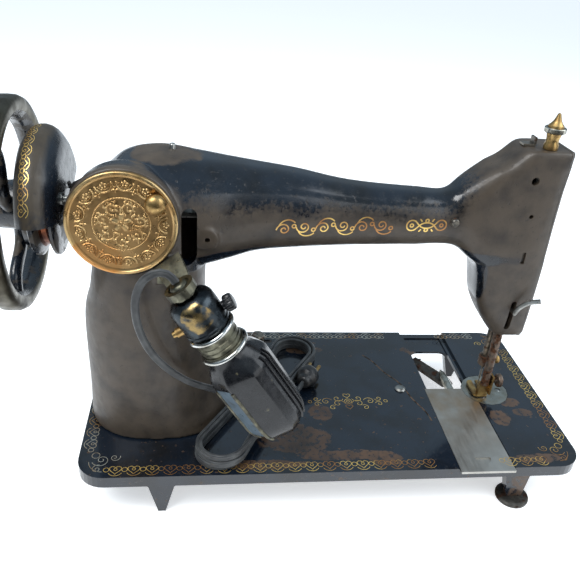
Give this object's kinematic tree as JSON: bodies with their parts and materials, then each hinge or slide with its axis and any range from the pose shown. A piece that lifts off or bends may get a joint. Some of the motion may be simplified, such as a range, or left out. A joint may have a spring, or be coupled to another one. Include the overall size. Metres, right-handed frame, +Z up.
{
  "type": "sewing machine",
  "caption": "Antique cast-iron vibrating-shuttle sewing machine head with hand wheel, brass rear cover and a clip-on work lamp with its flex and plug.",
  "frame": {"origin": "on the surface the machine stands on, under the middle of its bounding box without the flex", "axes": "+X along the bed from the needle to the hand wheel, +Y to the rear, away from the operator, +Z up"},
  "size_m": [0.431, 0.1824, 0.2784],
  "materials": {
    "japan_black": "glossy blue-black japanned enamel, worn brown in patches",
    "worn_japan": "brown-black japanned enamel, worn",
    "brass": "polished, aged",
    "bright_steel": "bright, lightly scratched",
    "nickel": "nickel plate, slightly worn",
    "rusty_steel": "dull with brown rust",
    "dark_iron": "bare, dark and oily",
    "lamp_black": "gloss black enamel",
    "pewter": "dull worn grey metal",
    "cord_rubber": "dark grey, slightly ribbed",
    "plug_black": "black moulded insulation",
    "bulb_glass": "frosted"
  },
  "bodies": {
    "frame": {"bed": "japan_black", "bed_rear_foot": "dark_iron", "bed_dome_screw": "bright_steel", "arm_casting": "japan_black", "face_plate": "worn_japan", "face_plate_screw": "bright_steel", "arm_rear_screw": "bright_steel", "spool_pin": "bright_steel", "belt_guard": "worn_japan", "belt_guard_screw": "bright_steel", "take_up_pivot": "bright_steel", "top_thread_guide": "bright_steel", "tension_stud": "bright_steel", "tension_disc_inner": "nickel", "tension_disc_outer": "nickel", "tension_spring": "bright_steel", "needle_plate": "bright_steel", "needle_plate_screw": "bright_steel", "rock_shaft_centre_screw_left": "bright_steel", "rock_shaft_centre_screw_right": "bright_steel", "shuttle_lever_pivot": "bright_steel", "lamp_bracket": "pewter", "lamp_cord_collar": "pewter", "lamp_socket": "nickel", "lamp_shade_fitter": "pewter", "lamp_bulb": "bulb_glass", "cord_tube": "cord_rubber", "cord_hank": "cord_rubber", "cord_plug_lead": "cord_rubber", "plug_body": "plug_black", "plug_prongs": "brass"},
    "hand_wheel_set": {"hand_wheel": "japan_black", "arm_shaft": "bright_steel", "needle_bar_cam": "dark_iron"},
    "stop_motion": {"stop_motion_screw": "nickel"},
    "connecting_rod": {"connecting_rod": "dark_iron"},
    "needle_bar_set": {"needle_bar": "bright_steel", "needle": "bright_steel", "needle_clamp": "rusty_steel"},
    "needle_clamp_screw": {"needle_clamp_screw": "brass"},
    "take_up": {"take_up_lever": "bright_steel"},
    "shuttle_set": {"shuttle_lever": "dark_iron", "shuttle": "bright_steel"},
    "rock_shaft": {"feed_rock_shaft": "dark_iron"},
    "feed_set": {"feed_bar": "dark_iron", "feed_dog": "rusty_steel"},
    "presser_set": {"presser_bar": "rusty_steel", "presser_foot": "brass", "presser_spring": "bright_steel"},
    "presser_foot_screw": {"presser_foot_thumb_screw": "rusty_steel"},
    "presser_lifter": {"presser_lifter": "bright_steel"},
    "pressure_screw_set": {"pressure_screw": "brass", "pressure_screw_collar": "nickel"},
    "tension_nut": {"tension_nut": "nickel"},
    "slide_plate": {"slide_plate_rear": "bright_steel"},
    "rear_cover": {"rear_cover": "brass"},
    "rear_cover_screw": {"rear_cover_thumb_screw": "brass"},
    "stitch_regulator": {"stitch_regulator_screw": "dark_iron"},
    "lamp_shade": {"lamp_shade": "lamp_black"},
    "lamp_switch": {"lamp_switch_knob": "lamp_black"}
  },
  "joints": [
    {"name": "hand_wheel_spin", "type": "hinge", "parent": "frame", "child": "hand_wheel_set", "pos_m": [-0.03132, -0.00228, 0.1995], "axis": [1, 0, 0], "continuous": true},
    {"name": "stop_motion_screw_turn", "type": "hinge", "parent": "hand_wheel_set", "child": "stop_motion", "pos_m": [0.20467, -0.00228, 0.1995], "axis": [1, 0, 0], "range_deg": [0, 180]},
    {"name": "connecting_rod_turn", "type": "hinge", "parent": "hand_wheel_set", "child": "connecting_rod", "pos_m": [0.10867, -0.00228, 0.1915], "axis": [1, 0, 0], "continuous": true},
    {"name": "needle_bar_slide", "type": "slide", "parent": "frame", "child": "needle_bar_set", "axis": [0, 0, 1], "range_m": [0, 0.03]},
    {"name": "needle_clamp_screw_turn", "type": "hinge", "parent": "needle_bar_set", "child": "needle_clamp_screw", "pos_m": [-0.16883, -0.00378, 0.072], "axis": [-1, 0, 0], "range_deg": [0, 180]},
    {"name": "take_up_swing", "type": "hinge", "parent": "frame", "child": "take_up", "pos_m": [-0.15072, 0.00372, 0.224], "axis": [1, 0, 0], "range_deg": [-35, 0]},
    {"name": "shuttle_lever_swing", "type": "hinge", "parent": "frame", "child": "shuttle_set", "pos_m": [-0.01132, -0.04028, 0.027], "axis": [0, 0, 1], "range_deg": [-10, 0]},
    {"name": "feed_rock_shaft_rock", "type": "hinge", "parent": "frame", "child": "rock_shaft", "pos_m": [-0.03132, 0.03772, 0.014], "axis": [1, 0, 0], "range_deg": [-5, 5]},
    {"name": "feed_bar_slide", "type": "slide", "parent": "frame", "child": "feed_set", "axis": [0, 1, 0], "range_m": [-0.0015, 0.0015]},
    {"name": "presser_bar_slide", "type": "slide", "parent": "frame", "child": "presser_set", "axis": [0, 0, 1], "range_m": [0, 0.006], "stiffness_N_per_m": 900, "springref_m": -0.012, "deforming": ["presser_spring"]},
    {"name": "presser_foot_thumb_screw_turn", "type": "hinge", "parent": "presser_set", "child": "presser_foot_screw", "pos_m": [-0.16903, 0.00672, 0.058], "axis": [-1, 0, 0], "range_deg": [-180, 180]},
    {"name": "presser_lifter_swing", "type": "hinge", "parent": "frame", "child": "presser_lifter", "pos_m": [-0.16332, 0.01972, 0.132], "axis": [0, 1, 0], "range_deg": [0, 70]},
    {"name": "pressure_screw_turn", "type": "hinge", "parent": "frame", "child": "pressure_screw_set", "pos_m": [-0.16332, 0.00672, 0.255], "axis": [0, 0, 1], "range_deg": [-180, 180]},
    {"name": "tension_nut_turn", "type": "hinge", "parent": "frame", "child": "tension_nut", "pos_m": [-0.15832, -0.02268, 0.152], "axis": [0, -1, 0], "range_deg": [-180, 180]},
    {"name": "slide_plate_slide", "type": "slide", "parent": "frame", "child": "slide_plate", "axis": [0, 1, 0], "range_m": [0, 0.06]},
    {"name": "rear_cover_swing", "type": "hinge", "parent": "frame", "child": "rear_cover", "pos_m": [0.09648, 0.04572, 0.2235], "axis": [0, -1, 0], "range_deg": [0, 100]},
    {"name": "rear_cover_thumb_screw_turn", "type": "hinge", "parent": "frame", "child": "rear_cover_screw", "pos_m": [0.09648, 0.04572, 0.2235], "axis": [0, 1, 0], "range_deg": [-180, 180]},
    {"name": "stitch_regulator_slide", "type": "slide", "parent": "frame", "child": "stitch_regulator", "axis": [1, 0, 0], "range_m": [-0.008, 0.008]},
    {"name": "lamp_shade_turn", "type": "hinge", "parent": "frame", "child": "lamp_shade", "pos_m": [0.03316, 0.07072, 0.10442], "axis": [-0.5446, 0, -0.8387], "range_deg": [-60, 60]},
    {"name": "lamp_switch_turn", "type": "hinge", "parent": "frame", "child": "lamp_switch", "pos_m": [0.05346, 0.07072, 0.16874], "axis": [-0.8387, 0, 0.5446], "range_deg": [0, 90]}
  ],
  "couplings": [
    {"joint": "connecting_rod_turn", "follows": "hand_wheel_spin", "ratio": -1},
    {"joint": "take_up_swing", "follows": "needle_bar_slide", "rad_per_m": -20.3},
    {"joint": "shuttle_lever_swing", "follows": "needle_bar_slide", "rad_per_m": -5.8},
    {"joint": "feed_bar_slide", "follows": "feed_rock_shaft_rock", "m_per_rad": -0.017},
    {"joint": "presser_lifter_swing", "follows": "presser_bar_slide", "rad_per_m": 203}
  ]
}
